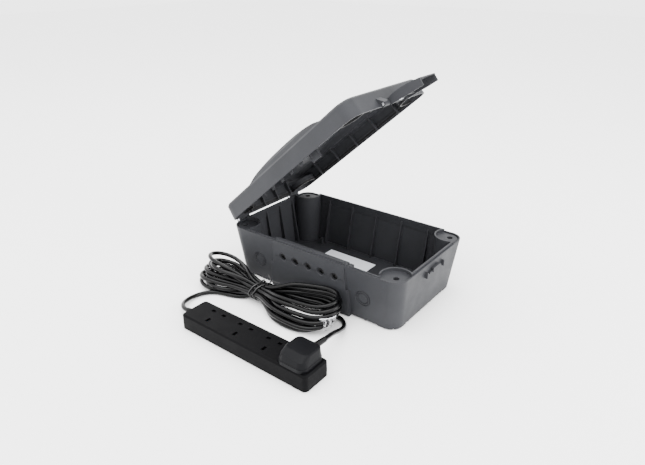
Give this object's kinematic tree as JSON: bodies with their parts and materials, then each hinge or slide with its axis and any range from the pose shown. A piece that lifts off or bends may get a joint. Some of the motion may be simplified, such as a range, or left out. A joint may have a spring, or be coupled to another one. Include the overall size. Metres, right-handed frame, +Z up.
{
  "type": "weatherproof connection box with extension lead",
  "caption": "Weatherproof outdoor connection box with hinged lid, latch lever and sealed cable entries, shown with its mains extension lead and coiled cord.",
  "frame": {"origin": "centre of the box's underside, midway between the four wall-mounting screw holes", "axes": "+Z up out of the box, +X towards the latch end (the hinge is at -X), -Y out of the wall with the cable entries"},
  "size_m": [0.375, 0.3925, 0.374],
  "materials": {
    "box_plastic": "fine satin grain",
    "seal_rubber": "matt",
    "label_paper": "plain satin film, no print",
    "strip_plastic": "fine spark grain",
    "plug_plastic": "semi-gloss",
    "shutter_plastic": "smooth",
    "cord_pvc": "soft sheen",
    "tie_plastic": "smooth",
    "clear_film": "clear, creased",
    "contact_brass": "bright",
    "zinc_steel": "zinc plated",
    "wire_brown": "smooth",
    "wire_blue": "smooth",
    "wire_green": "smooth",
    "clamp_plastic": "smooth",
    "fuse_ceramic": "smooth"
  },
  "bodies": {
    "base": {"base": "box_plastic", "hinge_pins": "zinc_steel", "entry_seal_lower": "seal_rubber", "floor_label": "label_paper"},
    "lid": {"lid": "box_plastic", "lid_seal": "seal_rubber", "latch_axle": "zinc_steel"},
    "latch": {"latch_lever": "box_plastic"},
    "entry_gate": {"entry_bar": "box_plastic", "entry_seal_upper": "seal_rubber"},
    "lead": {"strip_cover": "strip_plastic", "strip_base": "strip_plastic", "strip_feet": "seal_rubber", "strip_screws": "zinc_steel", "live_rail": "contact_brass", "neutral_rail": "contact_brass", "earth_rail": "contact_brass", "shutter_4": "shutter_plastic", "shutter_springs": "zinc_steel", "live_wire": "wire_brown", "neutral_wire": "wire_blue", "earth_wire": "wire_green", "cord_clamp": "clamp_plastic", "strip_gland": "cord_pvc", "plug_base": "plug_plastic", "plug_cover": "plug_plastic", "plug_screw": "zinc_steel", "live_pin": "contact_brass", "neutral_pin": "contact_brass", "earth_pin": "contact_brass", "pin_sleeves": "plug_plastic", "fuse": "fuse_ceramic", "fuse_clips": "contact_brass", "plug_cord_grip": "clamp_plastic", "plug_wires": "wire_brown", "plug_gland": "cord_pvc", "cord_from_strip": "cord_pvc", "cord_hank": "cord_pvc", "cord_to_plug": "cord_pvc", "hank_ties": "tie_plastic", "cord_tag": "clear_film"},
    "shutter_a": {"shutter_1": "shutter_plastic"},
    "shutter_b": {"shutter_2": "shutter_plastic"},
    "shutter_c": {"shutter_3": "shutter_plastic"}
  },
  "joints": [
    {"name": "lid_hinge", "type": "hinge", "parent": "base", "child": "lid", "pos_m": [-0.1798, 0, 0.093], "axis": [0, -1, 0], "range_deg": [-41.6, 60]},
    {"name": "latch_pivot", "type": "hinge", "parent": "lid", "child": "latch", "pos_m": [0.08864, 0, 0.33333], "axis": [0, -1, 0], "range_deg": [-88, 28]},
    {"name": "entry_bar_slide", "type": "slide", "parent": "base", "child": "entry_gate", "axis": [0, 0, 1], "range_m": [0, 0.03]},
    {"name": "lead_lift", "type": "slide", "parent": "base", "child": "lead", "axis": [0, 0, 1], "range_m": [0, 0.25]},
    {"name": "shutter_a_slide", "type": "slide", "parent": "lead", "child": "shutter_a", "axis": [0, 1, 0], "range_m": [0, 0.0066], "stiffness_N_per_m": 80, "springref_m": -0.003},
    {"name": "shutter_b_slide", "type": "slide", "parent": "lead", "child": "shutter_b", "axis": [0, 1, 0], "range_m": [0, 0.0066], "stiffness_N_per_m": 80, "springref_m": -0.003},
    {"name": "shutter_c_slide", "type": "slide", "parent": "lead", "child": "shutter_c", "axis": [0, 1, 0], "range_m": [0, 0.0066], "stiffness_N_per_m": 80, "springref_m": -0.003}
  ]
}
